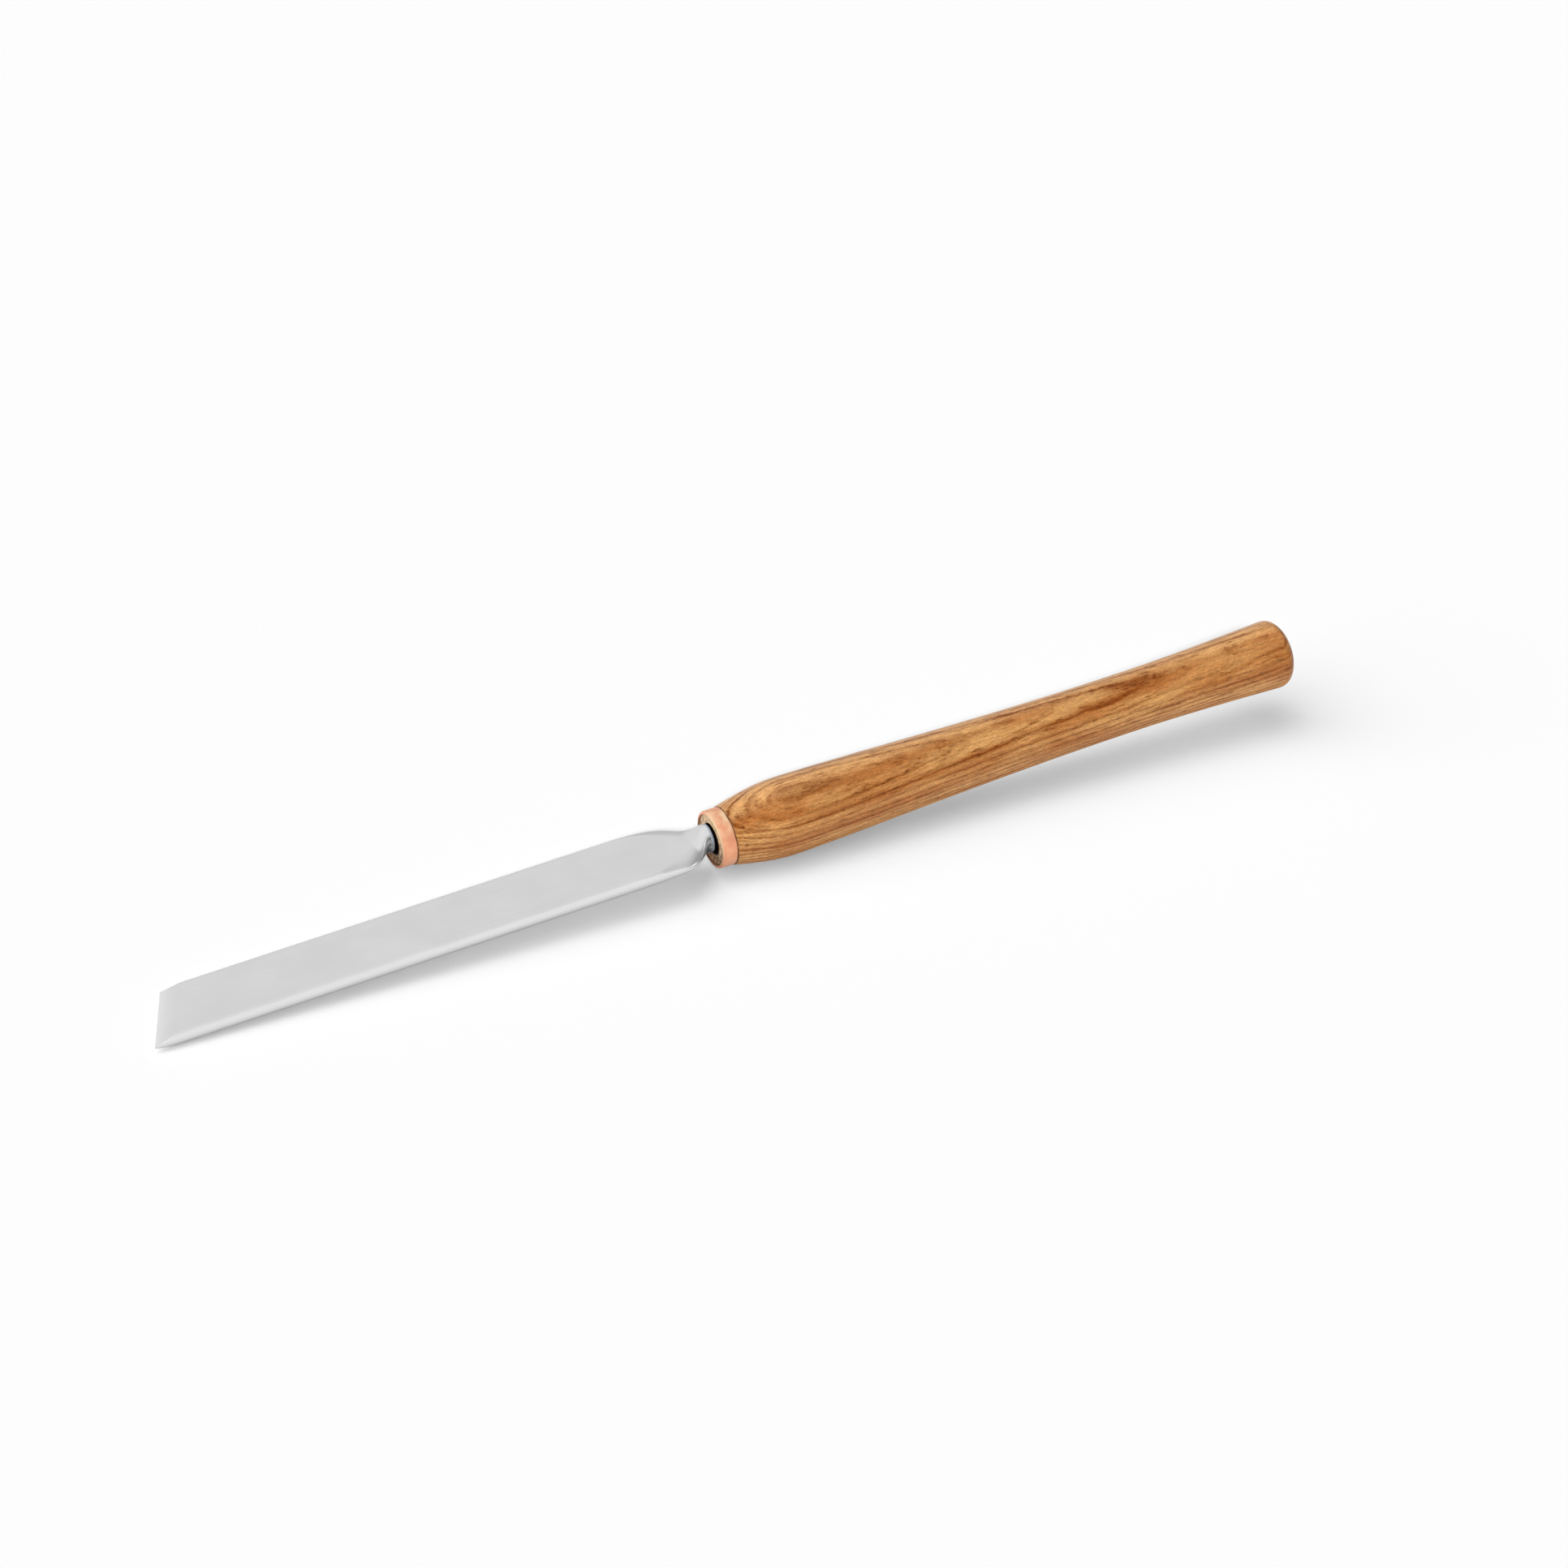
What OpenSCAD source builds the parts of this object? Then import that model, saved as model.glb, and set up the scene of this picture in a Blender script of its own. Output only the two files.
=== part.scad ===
// Skew chisel for wood turning: a flat blade with a slanted, double-bevelled edge, forged in one piece
// with its neck and tang, a copper ring ferrule and a turned oak handle.
// X runs along the handle's axis from the tip to the butt, and Z stands square to the blade's flats.
// The long point of the cutting edge is on the -Y side. The origin is on the axis, halfway along the tool.

/* [Blade] */
// Width of the blade
blade_w = 31.75; // [20:0.25:40]
// Thickness of the blade
blade_t = 4.75; // [3.5:0.25:7]
// Radius along the blade's four long edges
blade_edge_r = 1.6; // [0.3:0.1:1.7]
// Reach of the long point from the front of the ferrule
blade_reach = 223; // [120:1:320]
// Slant of the cutting edge from square across the blade, in degrees
skew_angle = 22.5; // [10:0.5:35]
// Angle between the two bevels at the cutting edge, in degrees
edge_angle = 38; // [25:1:60]
// Height of the blade's middle plane above the handle's axis
blade_lift = 1.4; // [0:0.1:1.8]

/* [Neck and tang] */
// Length over which the blade draws in to its round neck on the short point's side
heel_shoulder_len = 25; // [15:1:40]
// Length over which the blade draws in to its round neck on the long point's side
toe_shoulder_len = 19; // [15:1:40]
// Length over which the blade thickens to its round neck
swell_len = 8; // [5:0.5:15]
// Length over which the flats round off to an oval before the neck
crown_len = 22; // [5:1:40]
// Diameter of the neck at the ferrule
neck_d = 11.1; // [10:0.1:14]
// Radius round the back rim of the neck
neck_rim_r = 1; // [0.4:0.1:1.2]
// Gap from the back rim of the neck to the front of the ferrule
neck_gap = 0.3; // [0.2:0.1:2]
// Diameter of the tang at its root
tang_d = 8.65; // [6.55:0.1:9.15]
// Diameter of the tang at its end
tang_end_d = 6; // [4:0.1:6.4]
// Length of the tang behind the neck
tang_len = 80; // [40:1:130]

/* [Ferrule] */
// Outside diameter of the ferrule
ferrule_d = 22.2; // [20:0.1:23]
// Wall of the ferrule
ferrule_wall = 1.2; // [0.9:0.1:1.8]
// Length of the ferrule
ferrule_len = 6.1; // [4:0.1:14]
// Radius round the outside of the ferrule's front rim
ferrule_rim_r = 0.8; // [0.2:0.1:1.1]

/* [Handle] */
// Length from the front of the ferrule to the butt
handle_len = 250; // [215:1:400]
// Diameter of the wood behind the ferrule
collar_d = 23; // [22.4:0.1:27]
// Radius round the wood's edge behind the ferrule
collar_edge_r = 0.5; // [0.2:0.1:1]
// Diameter of the belly, the thickest place
belly_d = 29.9; // [25:0.1:40]
// Distance of the belly from the front of the ferrule
belly_x = 31; // [20:1:70]
// Diameter of the waist, the thinnest place of the grip
waist_d = 23.2; // [18:0.1:30]
// Distance of the waist from the front of the ferrule
waist_x = 176; // [100:1:190]
// Diameter of the butt
butt_d = 27; // [20:0.1:36]
// Length of the rounding at the butt
butt_round = 6.5; // [2:0.5:16]
// Depth of the end grain behind the ferrule's front rim
tenon_recess = 0.5; // [0:0.1:1.5]
// Diameter of the mouth that the socket opens into
mouth_d = 12.2; // [11:0.1:15]
// Height of the mouth's middle above the handle's axis
mouth_lift = 0.4; // [0:0.1:1]
// Depth of the mouth from the end grain
mouth_depth = 8; // [3:0.5:20]

/* [Fits] */
// Clearance all round the tang in its socket
tang_clear = 0.1; // [0.02:0.01:0.3]
// Room in the socket beyond the end of the tang
tang_end_room = 2; // [0.5:0.5:10]
// Clearance all round the tenon in the ferrule
ferrule_clear = 0.05; // [0.01:0.01:0.2]

/* [Hidden] */

// Sides of a full turn
$fn = 96;
// Steps in a quarter turn of the blade's edges and neck
arc_steps = 8;
// Rings along the shoulders, and round the neck's rim
shoulder_rings = 24;
rim_rings = 5;
// Steps in each of the handle's curves
curve_steps = 14;
// How late the shoulders draw in: at 1 the change is even
shoulder_delay = 1.65;
// How early the handle thins behind the belly: at 1 the change is even
grip_delay = 0.75;
// Fullness of the butt's rounding: 2 is an ellipse
butt_fullness = 2.5;

// Places along the axis, from the front of the ferrule
rim_x = -neck_gap;
neck_x = rim_x - neck_rim_r;
shoulder_len = max(heel_shoulder_len, toe_shoulder_len);
shoulder_x = neck_x - shoulder_len;
mouth_x = tenon_recess + mouth_depth;
butt_x = handle_len - butt_round;
middle_x = (handle_len - blade_reach) / 2;

// Depth at which the bevels are as thick as twice the blade, so that their planes pass its flats
bevel_run = blade_t / tan(edge_angle / 2);
// Radius of the tenon that the ferrule is pressed on
tenon_r = ferrule_d / 2 - ferrule_wall - ferrule_clear;

function mix(a, b, share) = a + (b - a) * share;
function ease(u) = (1 - cos(180 * u)) / 2;

// Outline of a rectangle with round corners, half_w by half_t from its middle. A crown of 1 makes it an oval.
// The corners' facets touch their arcs from outside, so that the flats keep their full size.
function round_outline(half_w, half_t, corner_r, crown = 0) = [
    for (corner = [0:3], step = [0:arc_steps - 1])
        let (turn = 90 * (corner + (step + 0.5) / arc_steps))
        let (facet = 1 / cos(45 / arc_steps))
        let (corner_w = mix(corner_r, half_w, crown))
        let (corner_t = mix(corner_r, half_t, crown))
        let (side_x = corner == 0 || corner == 3 ? 1 : -1)
        let (side_y = corner < 2 ? 1 : -1)
        [
            side_x * (half_w - corner_w) + facet * corner_w * cos(turn),
            side_y * (half_t - corner_t) + facet * corner_t * sin(turn)
        ]
];

// Half width of one side of the blade at a distance before the neck
function shoulder_half_w(before, side_len) =
    mix(blade_w, neck_d, ease(pow(max(0, 1 - before / side_len), shoulder_delay))) / 2;

// Outline of the blade at a distance before the neck, from the flat bar to the round neck
function shoulder_outline(before) =
    let (heel_w = shoulder_half_w(before, heel_shoulder_len))
    let (toe_w = shoulder_half_w(before, toe_shoulder_len))
    let (swell = ease(max(0, 1 - before / swell_len)))
    let (half_t = mix(blade_t, neck_d, swell) / 2)
    let (corner_r = mix(blade_edge_r, neck_d / 2, swell))
    let (crown = max(0, 1 - before / min(crown_len, shoulder_len)))
    let (outline = round_outline((heel_w + toe_w) / 2, half_t, corner_r, crown))
    [for (point = outline) point + [(heel_w - toe_w) / 2, 0]];

// Moves what is drawn from the front of the ferrule into the tool's own frame
module placed() {
    translate([-middle_x, 0, 0]) children();
}

// Stands a section, drawn with its radius along X and its height along Y, around the X axis
module turned() {
    rotate([0, 90, 0]) rotate_extrude() children();
}

// Flat bar from the tip to the shoulders
module blade_bar() {
    translate([-blade_reach, 0, 0])
        rotate([90, 0, 90])
            linear_extrude(blade_reach + shoulder_x)
                polygon(round_outline(blade_w / 2, blade_t / 2, blade_edge_r));
}

// Wedge between the two bevels, with its edge through the long point
module bevel_wedge() {
    translate([-blade_reach, -blade_w / 2, 0])
        rotate([0, 0, -skew_angle])
            rotate([90, 0, 0])
                linear_extrude(2 * blade_reach, center = true)
                    polygon([
                        [0, 0],
                        [bevel_run, blade_t],
                        [2 * blade_reach, blade_t],
                        [2 * blade_reach, -blade_t],
                        [bevel_run, -blade_t]
                    ]);
}

// Shoulders drawn in from the bar to the round neck and its rounded rim, as rings of points
module shoulders() {
    rings = concat(
        [
            for (step = [0:shoulder_rings])
                let (before = shoulder_len * (1 - step / shoulder_rings))
                [neck_x - before, shoulder_outline(before)]
        ],
        [
            for (step = [1:rim_rings])
                let (turn = 90 * step / rim_rings)
                let (ring_r = neck_d / 2 - neck_rim_r * (1 - cos(turn)))
                [neck_x + neck_rim_r * sin(turn), round_outline(ring_r, ring_r, ring_r)]
        ]
    );
    ring_size = 4 * arc_steps;
    last = len(rings) - 1;
    points = [for (ring = rings, point = ring[1]) [ring[0], point[0], point[1]]];
    sides = [
        for (ring = [0:last - 1], side = [0:ring_size - 1])
            let (near = ring * ring_size + side)
            let (next = ring * ring_size + (side + 1) % ring_size)
            each [
                [near, next + ring_size, next],
                [near, near + ring_size, next + ring_size]
            ]
    ];
    front = [for (side = [0:ring_size - 1]) side];
    back = [for (side = [ring_size - 1:-1:0]) last * ring_size + side];
    polyhedron(points, concat(sides, [front, back]), convexity = 4);
}

// Tapered tang, from its root inside the neck
module tang() {
    translate([neck_x, 0, 0])
        rotate([0, 90, 0]) {
            cylinder(neck_rim_r, d = tang_d);
            translate([0, 0, neck_rim_r]) cylinder(tang_len, tang_d / 2, tang_end_d / 2);
        }
}

module blade() {
    color("#b9babb")
        placed()
            translate([0, 0, blade_lift]) {
                intersection() {
                    blade_bar();
                    bevel_wedge();
                }
                shoulders();
                tang();
            }
}

module ferrule() {
    outer_r = ferrule_d / 2;
    inner_r = outer_r - ferrule_wall;
    color("#d9936b")
        placed()
            turned() {
                translate([inner_r, ferrule_rim_r]) square([ferrule_wall, ferrule_len - ferrule_rim_r]);
                translate([inner_r, 0]) square([ferrule_wall - ferrule_rim_r, ferrule_len]);
                intersection() {
                    translate([outer_r - ferrule_rim_r, ferrule_rim_r]) circle(ferrule_rim_r);
                    translate([outer_r - ferrule_rim_r, 0]) square(ferrule_rim_r);
                }
            }
}

// Half profile of the handle: tenon, rounded shoulder, belly, waist and butt
function handle_profile() = concat(
    [[0, tenon_recess], [tenon_r, tenon_recess], [tenon_r, ferrule_len]],
    [
        for (step = [0:curve_steps])
            let (turn = 90 * step / curve_steps)
            [collar_d / 2 - collar_edge_r * (1 - sin(turn)), ferrule_len + collar_edge_r * (1 - cos(turn))]
    ],
    [
        for (step = [1:curve_steps])
            let (share = step / curve_steps)
            [mix(collar_d, belly_d, sin(90 * share)) / 2, mix(ferrule_len + collar_edge_r, belly_x, share)]
    ],
    [
        for (step = [1:2 * curve_steps])
            let (share = step / curve_steps / 2)
            [mix(belly_d, waist_d, ease(pow(share, grip_delay))) / 2, mix(belly_x, waist_x, share)]
    ],
    [
        for (step = [1:curve_steps])
            let (share = step / curve_steps)
            [mix(waist_d, butt_d, 1 - cos(90 * share)) / 2, mix(waist_x, butt_x, share)]
    ],
    [
        for (step = [1:curve_steps])
            let (turn = 90 * step / curve_steps)
            let (power = 2 / butt_fullness)
            [butt_d / 2 * pow(cos(turn), power), butt_x + butt_round * pow(sin(turn), power)]
    ]
);

// Tapered hole that the tang is driven into, from the tenon's end to just past the tang
module socket() {
    taper = (tang_d - tang_end_d) / 2 / tang_len;
    open_r = tang_d / 2 + tang_clear;
    end_r = tang_end_d / 2 + tang_clear - taper * tang_end_room;
    translate([rim_x, 0, blade_lift])
        rotate([0, 90, 0])
            cylinder(tang_len + tang_end_room, open_r, end_r);
}

module handle() {
    color("#c48a4e")
        placed()
            difference() {
                turned() polygon(handle_profile());
                translate([rim_x, 0, mouth_lift]) rotate([0, 90, 0]) cylinder(mouth_x - rim_x, d = mouth_d);
                socket();
            }
}

blade();
ferrule();
handle();
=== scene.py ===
"""Skew chisel for wood turning: a ground steel blade, a copper ring ferrule and a turned oak handle.

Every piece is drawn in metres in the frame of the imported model. X runs along the handle's axis from the tip to the
butt, Z stands square to the blade's flats, and the long point of the cutting edge is on the -Y side.
"""

import math

import bmesh
import bpy
from bpy.props import FloatProperty, FloatVectorProperty, PointerProperty
from mathutils import Euler, Matrix, Vector


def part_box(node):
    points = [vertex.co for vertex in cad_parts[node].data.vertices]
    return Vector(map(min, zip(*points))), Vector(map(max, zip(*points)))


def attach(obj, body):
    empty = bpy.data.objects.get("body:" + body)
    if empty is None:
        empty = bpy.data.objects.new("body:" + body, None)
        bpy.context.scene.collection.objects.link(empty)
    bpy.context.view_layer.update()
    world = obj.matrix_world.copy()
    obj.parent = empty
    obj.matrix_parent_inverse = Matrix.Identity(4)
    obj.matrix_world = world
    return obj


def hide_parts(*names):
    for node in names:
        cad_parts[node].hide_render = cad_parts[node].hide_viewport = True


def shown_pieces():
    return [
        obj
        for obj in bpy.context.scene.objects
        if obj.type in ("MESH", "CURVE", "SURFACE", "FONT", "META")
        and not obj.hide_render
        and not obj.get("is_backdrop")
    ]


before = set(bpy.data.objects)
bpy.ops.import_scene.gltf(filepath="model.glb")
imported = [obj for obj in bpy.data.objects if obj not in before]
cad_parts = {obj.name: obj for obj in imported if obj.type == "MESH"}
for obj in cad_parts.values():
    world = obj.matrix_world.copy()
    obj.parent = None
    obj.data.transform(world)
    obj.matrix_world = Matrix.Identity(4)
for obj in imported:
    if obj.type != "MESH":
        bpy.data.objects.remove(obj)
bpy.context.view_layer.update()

bl_info = {
    "name": "Skew chisel",
    "version": (1, 0, 0),
    "blender": (4, 5, 0),
    "location": "View3D > Sidebar > Skew chisel",
    "description": "Builds a wood turner's skew chisel and the table it is photographed on",
    "category": "Add Mesh",
}

MM = 0.001
# Width of the film that the focal length is for, in millimetres
FILM_WIDTH = 36.0

BLADE_LOW, BLADE_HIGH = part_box("blade")
FERRULE_LOW, FERRULE_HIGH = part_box("ferrule")
HANDLE_LOW, HANDLE_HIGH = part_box("handle")
# Front of the ferrule, from which places along the axis are measured
FRONT_X = FERRULE_LOW.x

# Points in a quarter turn of the blade's edges, and round the turned pieces
ARC_STEPS = 10
TURN_STEPS = 144
# Edges that bend by more than this stay crisp
CRISP_ANGLE = math.radians(40)


def linear(hex_colour):
    """Linear colour, with full alpha, of an sRGB hex value."""
    channels = [int(hex_colour[at:at + 2], 16) / 255 for at in (1, 3, 5)]
    return tuple(c / 12.92 if c <= 0.04045 else ((c + 0.055) / 1.055) ** 2.4 for c in channels) + (1.0,)


def length(name, description, default):
    """Property for a length in metres."""
    return FloatProperty(name=name, description=description, default=default, min=0.0, unit="LENGTH", precision=5)


def brightness(name, description, default):
    """Property for a brightness, where 1 is plain white."""
    return FloatProperty(name=name, description=description, default=default, min=0.0)


def angle(name, description, degrees):
    """Property for an angle given in degrees."""
    return FloatProperty(name=name, description=description, default=math.radians(degrees), subtype="ANGLE")


def colour(name, description, hex_colour):
    """Property for a colour given as an sRGB hex value."""
    return FloatVectorProperty(
        name=name, description=description, default=linear(hex_colour), size=4, min=0.0, max=1.0, subtype="COLOR"
    )


class BladeSizes(bpy.types.PropertyGroup):
    """Sizes of the blade, its neck and its tang."""

    width: length("Width", "Width of the blade", BLADE_HIGH.y - BLADE_LOW.y)
    thickness: length("Thickness", "Thickness of the blade", 4.75 * MM)
    lift: length("Lift", "Height of the blade's middle plane above the axis", (BLADE_LOW.z + BLADE_HIGH.z) / 2)
    reach: length("Reach", "Long point to the front of the ferrule", FRONT_X - BLADE_LOW.x)
    edge_round: length("Edge radius", "Radius along the blade's long edges", 2.1 * MM)
    skew: angle("Skew", "Slant of the cutting edge from square across the blade", 22.5)
    edge_angle: angle("Edge angle", "Angle between the two bevels", 38.0)
    honed: length("Honed strip", "Width of the honed strip along the cutting edge", 1.0 * MM)
    honed_angle: angle("Honing angle", "Angle between the two honed strips", 42.0)
    edge_land: length("Edge thickness", "Thickness of the steel at the cutting edge", 0.06 * MM)
    bevel_blend: length("Bevel blend", "How softly the bevel runs into the flat", 0.35 * MM)
    bevel_round: length("Bevel edge radius", "Radius along the ends of the bevels", 0.18 * MM)
    heel_shoulder: length("Heel shoulder", "Length in which the short point's side draws in", 25.0 * MM)
    toe_shoulder: length("Toe shoulder", "Length in which the long point's side draws in", 19.0 * MM)
    swell: length("Swell", "Length in which the blade thickens to its neck", 8.0 * MM)
    crown: length("Crown", "Length in which the flats round off to ovals before the neck", 30.0 * MM)
    neck: length("Neck", "Diameter of the neck", BLADE_HIGH.z - BLADE_LOW.z)
    rim_round: length("Neck rim", "Radius round the back rim of the neck", 1.0 * MM)
    neck_gap: length("Neck gap", "Gap from the neck to the front of the ferrule", 0.3 * MM)
    tang: length("Tang root", "Diameter of the tang at its root", 8.65 * MM)
    tang_end: length("Tang end", "Diameter of the tang at its end", 6.0 * MM)


class FerruleSizes(bpy.types.PropertyGroup):
    """Sizes of the copper ring."""

    diameter: length("Diameter", "Outside diameter of the ring", FERRULE_HIGH.y - FERRULE_LOW.y)
    wall: length("Wall", "Wall of the ring", 1.2 * MM)
    length: length("Length", "Length of the ring", FERRULE_HIGH.x - FERRULE_LOW.x)
    rim_round: length("Rim radius", "Radius round the front rim", 0.8 * MM)
    cut_round: length("Cut edges", "Radius left on the other edges by the cutter", 0.2 * MM)


class HandleSizes(bpy.types.PropertyGroup):
    """Sizes of the turned handle."""

    length: length("Length", "Front of the ferrule to the butt", HANDLE_HIGH.x - FRONT_X)
    collar: length("Collar", "Diameter of the wood behind the ferrule", 23.0 * MM)
    collar_round: length("Collar edge", "Radius round the wood's edge behind the ferrule", 0.5 * MM)
    belly: length("Belly", "Diameter at the thickest place", HANDLE_HIGH.y - HANDLE_LOW.y)
    belly_at: length("Belly place", "Distance of the belly from the front of the ferrule", 31.0 * MM)
    waist: length("Waist", "Diameter at the thinnest place of the grip", 23.2 * MM)
    waist_at: length("Waist place", "Distance of the waist from the front of the ferrule", 176.0 * MM)
    butt: length("Butt", "Diameter of the butt", 27.0 * MM)
    butt_round: length("Butt rounding", "Length of the rounding at the butt", 6.5 * MM)
    recess: length("Recess", "Depth of the end grain behind the ferrule's rim", 0.5 * MM)
    mouth: length("Mouth", "Diameter of the mouth round the tang", 12.2 * MM)
    mouth_lift: length("Mouth lift", "Height of the mouth's middle above the axis", 0.4 * MM)
    mouth_depth: length("Mouth depth", "Depth of the mouth from the end grain", 8.0 * MM)
    fit: length("Fit", "Clearance of the tenon in the ferrule", 0.05 * MM)
    tang_fit: length("Tang fit", "Clearance of the tang in its socket", 0.1 * MM)
    tang_room: length("Tang room", "Room in the socket beyond the tang", 2.0 * MM)


class Finishes(bpy.types.PropertyGroup):
    """Colours of the finishes."""

    steel: colour("Steel", "Ground steel", "#D5D5D5")
    steel_shade: colour("Steel streaks", "Faint streaks in the ground steel", "#D1D1D1")
    # Lighter steel on the bevels, and the painted highlight high on the narrow sides
    steel_bevel_and_side_highlight: colour("Honed steel", "Finer ground steel towards the cutting edge and on the sides", "#E2E2E2")
    # Painted shade low on the narrow sides
    steel_side_shade: colour("Steel sides", "Darker steel low on the narrow sides", "#8C8C8C")
    steel_rim: colour("Neck rim", "Bluish unpolished steel round the back rim of the neck", "#DCE4EE")
    # Near-black tang: forge scale, and painted shade in the mouth
    steel_scale_and_shade: colour("Forge scale", "Black skin left on the tang by the forge", "#17181B")
    copper: colour("Copper", "Wiped copper", "#F5B48E")
    copper_tarnish: colour("Tarnish", "Pinkish tarnish on the copper", "#E9A27E")
    # Bright cut rim, and the painted highlight on the top and upper rim of the copper
    copper_rim_and_highlight: colour("Cut copper", "Bright copper on the cut front rim", "#FDE2B8")
    # Brown stain along the joint, and painted shade low on the copper's rim
    copper_stain_and_shade: colour("Stain", "Brown stain along the edges of the copper", "#8A553C")
    oak_light: colour("Late wood", "Pale dense wood between the pore bands", "#CE995C")
    # Paler wood: painted highlight beside the top, and partly sapwood, partly painted light low towards the pith
    oak_sapwood_and_light: colour("Sapwood", "Paler wood beside the top and towards the pith", "#E4AD70")
    oak_red: colour("Heart", "Redder wood in the slow clouds", "#B07038")
    oak_dark: colour("Pore bands", "Open wood at the start of each year's ring", "#824000")
    oak_pore: colour("Pores", "Oil and dust in the open pores", "#5E2C00")
    oak_end: colour("End grain", "Bare end grain at the mouth", "#E2BE92")
    oak_stain: colour("Stained end grain", "Rough stained end grain and the dirt in the joints", "#6E4A30")
    # Scorched wood, and painted shade in the mouth's bore
    oak_scorch_and_shade: colour("Burnt bore", "Wood scorched by the drill in the mouth", "#120C08")
    table: colour("Table", "Pale table top", "#FEFEFE")


class StageSettings(bpy.types.PropertyGroup):
    """Camera, table and light."""

    azimuth: angle("Azimuth", "Turn of the camera round the tool, from square to its side", -24.644)
    elevation: angle("Elevation", "Height of the camera above the tool", 32.178)
    roll: angle("Roll", "Turn of the camera about its line of sight", -4.486)
    distance: length("Distance", "Camera to the front of the ferrule, along the line of sight", 1515.34 * MM)
    slide: length("Slide", "Camera to the right of the front of the ferrule", 27.25 * MM)
    rise: length("Rise", "Camera above the front of the ferrule, across the line of sight", 20.79 * MM)
    focal: FloatProperty(name="Focal length", description="Focal length for a 36 mm film", default=94.19, min=1.0)
    table_pitch: angle("Table pitch", "Fall of the table towards the butt", 3.25)
    table_roll: angle("Table roll", "Rise of the table away from the long point's side", 1.45)
    table_side: length("Table side", "Side of the table top", 24.0)
    sky: brightness("Sky", "Even light from the white room", 0.08)
    key: brightness("Key lamp", "Light of the large lamp beyond the tip", 0.52)
    key_turn: angle("Key turn", "Turn of the key lamp from +X towards +Y", 175.0)
    key_height: angle("Key height", "Height of the key lamp above the table", 50.0)
    key_spread: angle("Key spread", "How wide the key lamp is, seen from the tool", 80.0)
    fill: brightness("Fill lamp", "Light of the lamp by the camera", 0.3)
    fill_turn: angle("Fill turn", "Turn of the fill lamp from +X towards +Y", 245.3)
    fill_height: angle("Fill height", "Height of the fill lamp above the table", 32.2)
    fill_spread: angle("Fill spread", "How wide the fill lamp is, seen from the tool", 4.0)
    top: brightness("Top lamp", "Light of the lamp overhead", 0.12)
    top_turn: angle("Top turn", "Turn of the top lamp from +X towards +Y", 65.0)
    top_height: angle("Top height", "Height of the top lamp above the table", 82.0)
    top_spread: angle("Top spread", "How wide the top lamp is, seen from the tool", 35.0)
    low: brightness("Far wall", "Brightness of the far wall's foot in the metal", 0.7)
    high: brightness("Ceiling", "Brightness of the ceiling in the metal", 1.1)
    dim: brightness("Dim end", "Brightness of the room beyond the butt", 0.45)
    glow: brightness("Window", "Brightness of the window in the dim end", 4.0)


def mix(a, b, share):
    """The value that lies this share of the way from a to b."""
    return a + (b - a) * share


def ease(share):
    """The share with a soft start and a soft end."""
    return (1 - math.cos(math.pi * share)) / 2


def soft_least(a, b, blend):
    """The smaller of a and b, with the corner where they meet rounded off."""
    return min(a, b) - max(blend - abs(a - b), 0.0) ** 2 / (4 * blend)


def skin(name, rings, closed=False):
    """Makes an object whose skin runs through rings of points. Its ends are flat, or meet if it is closed."""
    shape = bmesh.new()
    loops = [[shape.verts.new(point) for point in ring] for ring in rings]
    pairs = list(zip(loops, loops[1:]))
    if closed:
        pairs.append((loops[-1], loops[0]))
    else:
        shape.faces.new(loops[0])
        shape.faces.new(loops[-1])
    for loop, following in pairs:
        for at, corner in enumerate(loop):
            beside = (at + 1) % len(loop)
            shape.faces.new((corner, loop[beside], following[beside], following[at]))
    bmesh.ops.recalc_face_normals(shape, faces=shape.faces)
    mesh = bpy.data.meshes.new(name)
    shape.to_mesh(mesh)
    shape.free()
    mesh.shade_smooth()
    mesh.set_sharp_from_angle(angle=CRISP_ANGLE)
    piece = bpy.data.objects.new(name, mesh)
    bpy.context.scene.collection.objects.link(piece)
    return piece


def fit_to_frame(piece, node, material):
    """Dresses a piece, lets it ride on the tool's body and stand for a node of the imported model."""
    piece.data.materials.append(material)
    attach(piece, "root")
    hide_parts(node)


def turned_ring(x, radius, lift=0.0):
    """Circle of points round the axis, or lifted above it, at x from the front of the ferrule."""
    turns = [2 * math.pi * step / TURN_STEPS for step in range(TURN_STEPS)]
    return [Vector((FRONT_X + x, radius * math.cos(t), lift + radius * math.sin(t))) for t in turns]


def round_outline(half_w, half_t, corner, crown=0.0):
    """Points of a rectangle with round corners, half_w by half_t from its middle. A crown of 1 makes an oval."""
    corner_w = mix(corner, half_w, crown)
    corner_t = mix(corner, half_t, crown)
    facet = 1 / math.cos(math.pi / 4 / ARC_STEPS)
    points = []
    for quarter in range(4):
        side_y = 1 if quarter in (0, 3) else -1
        side_z = 1 if quarter < 2 else -1
        for step in range(ARC_STEPS):
            turn = math.pi / 2 * (quarter + (step + 0.5) / ARC_STEPS)
            points.append((
                side_y * (half_w - corner_w) + facet * corner_w * math.cos(turn),
                side_z * (half_t - corner_t) + facet * corner_t * math.sin(turn),
            ))
    return points


# How late the shoulders draw in: at 1 the change is even
SHOULDER_DELAY = 1.65
# Share of the half thickness that the round edges may take near the cutting edge
EDGE_SHARE = 0.9
# Rings behind the cutting edge: over the honed strip, as shares of its width, then at even steps from just behind
# it to well behind the bevel
HONED_SHARES = (0.0, 0.12, 0.5, 0.94, 1.06)
BEVEL_START = 1.5 * MM
BEVEL_STEP = 0.25 * MM
BEVEL_RINGS = 48
# Rings along the bar, the shoulders, the neck's rim and the tang
BAR_RINGS = 28
SHOULDER_RINGS = 60
RIM_RINGS = 8
TANG_RINGS = 10


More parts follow.
